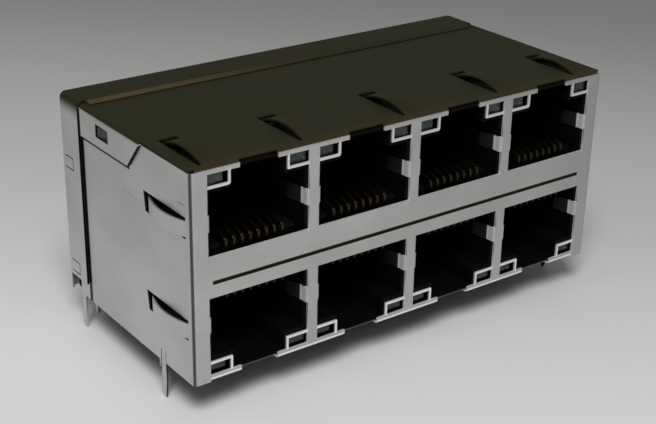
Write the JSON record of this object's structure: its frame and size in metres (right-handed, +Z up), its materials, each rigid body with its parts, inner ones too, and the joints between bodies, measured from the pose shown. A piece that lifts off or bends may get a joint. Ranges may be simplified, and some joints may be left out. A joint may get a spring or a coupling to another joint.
{
  "type": "stacked ethernet jack with magnetics",
  "caption": "Shielded two-row network jack for a circuit board, with indicator lamps, contact wires and transformer modules behind the sockets.",
  "frame": {"origin": "on the board plane, midway between the two locating posts", "axes": "+Z up from the board, +X along the rows, sockets face -Y"},
  "size_m": [0.0602, 0.029, 0.0302],
  "materials": {
    "plated_sheet": "satin bright tin-nickel plate",
    "plated_sheet_rear": "satin bright tin-nickel plate",
    "black_moulding": "fine matt",
    "ground_plate": "bare rolled",
    "carrier_moulding": "fine matt",
    "gold_contact": "gold flash",
    "circuit_board": "solder mask",
    "chip_part": "ceramic",
    "case_moulding": "fine matt",
    "ferrite_core": "wound ferrite",
    "tinned_pin": "tin plate",
    "lamp_lens": "clear smoked",
    "organizer_moulding": "fine matt"
  },
  "bodies": {
    "root": {"board_1": "circuit_board", "board_2": "circuit_board", "board_3": "circuit_board", "board_4": "circuit_board", "chip_parts_1": "chip_part", "chip_parts_2": "chip_part", "chip_parts_3": "chip_part", "chip_parts_4": "chip_part", "cores_1": "ferrite_core", "cores_2": "ferrite_core", "cores_3": "ferrite_core", "cores_4": "ferrite_core", "front_shield": "plated_sheet", "housing": "black_moulding", "led_leads_lower": "tinned_pin", "led_leads_upper": "tinned_pin", "led_lower_left_1": "lamp_lens", "led_lower_left_2": "lamp_lens", "led_lower_left_3": "lamp_lens", "led_lower_left_4": "lamp_lens", "led_lower_right_1": "lamp_lens", "led_lower_right_2": "lamp_lens", "led_lower_right_3": "lamp_lens", "led_lower_right_4": "lamp_lens", "led_upper_left_1": "lamp_lens", "led_upper_left_2": "lamp_lens", "led_upper_left_3": "lamp_lens", "led_upper_left_4": "lamp_lens", "led_upper_right_1": "lamp_lens", "led_upper_right_2": "lamp_lens", "led_upper_right_3": "lamp_lens", "led_upper_right_4": "lamp_lens", "lower_carrier_1": "carrier_moulding", "lower_carrier_2": "carrier_moulding", "lower_carrier_3": "carrier_moulding", "lower_carrier_4": "carrier_moulding", "lower_contacts_1": "gold_contact", "lower_contacts_2": "gold_contact", "lower_contacts_3": "gold_contact", "lower_contacts_4": "gold_contact", "magnetics_case_1": "case_moulding", "magnetics_case_2": "case_moulding", "magnetics_case_3": "case_moulding", "magnetics_case_4": "case_moulding", "mid_ground_plate": "ground_plate", "pin_organizer": "organizer_moulding", "rear_shield": "plated_sheet_rear", "solder_pins_1": "tinned_pin", "solder_pins_2": "tinned_pin", "solder_pins_3": "tinned_pin", "solder_pins_4": "tinned_pin", "upper_carrier_1": "carrier_moulding", "upper_carrier_2": "carrier_moulding", "upper_carrier_3": "carrier_moulding", "upper_carrier_4": "carrier_moulding", "upper_contacts_1": "gold_contact", "upper_contacts_2": "gold_contact", "upper_contacts_3": "gold_contact", "upper_contacts_4": "gold_contact"}
  },
  "joints": []
}
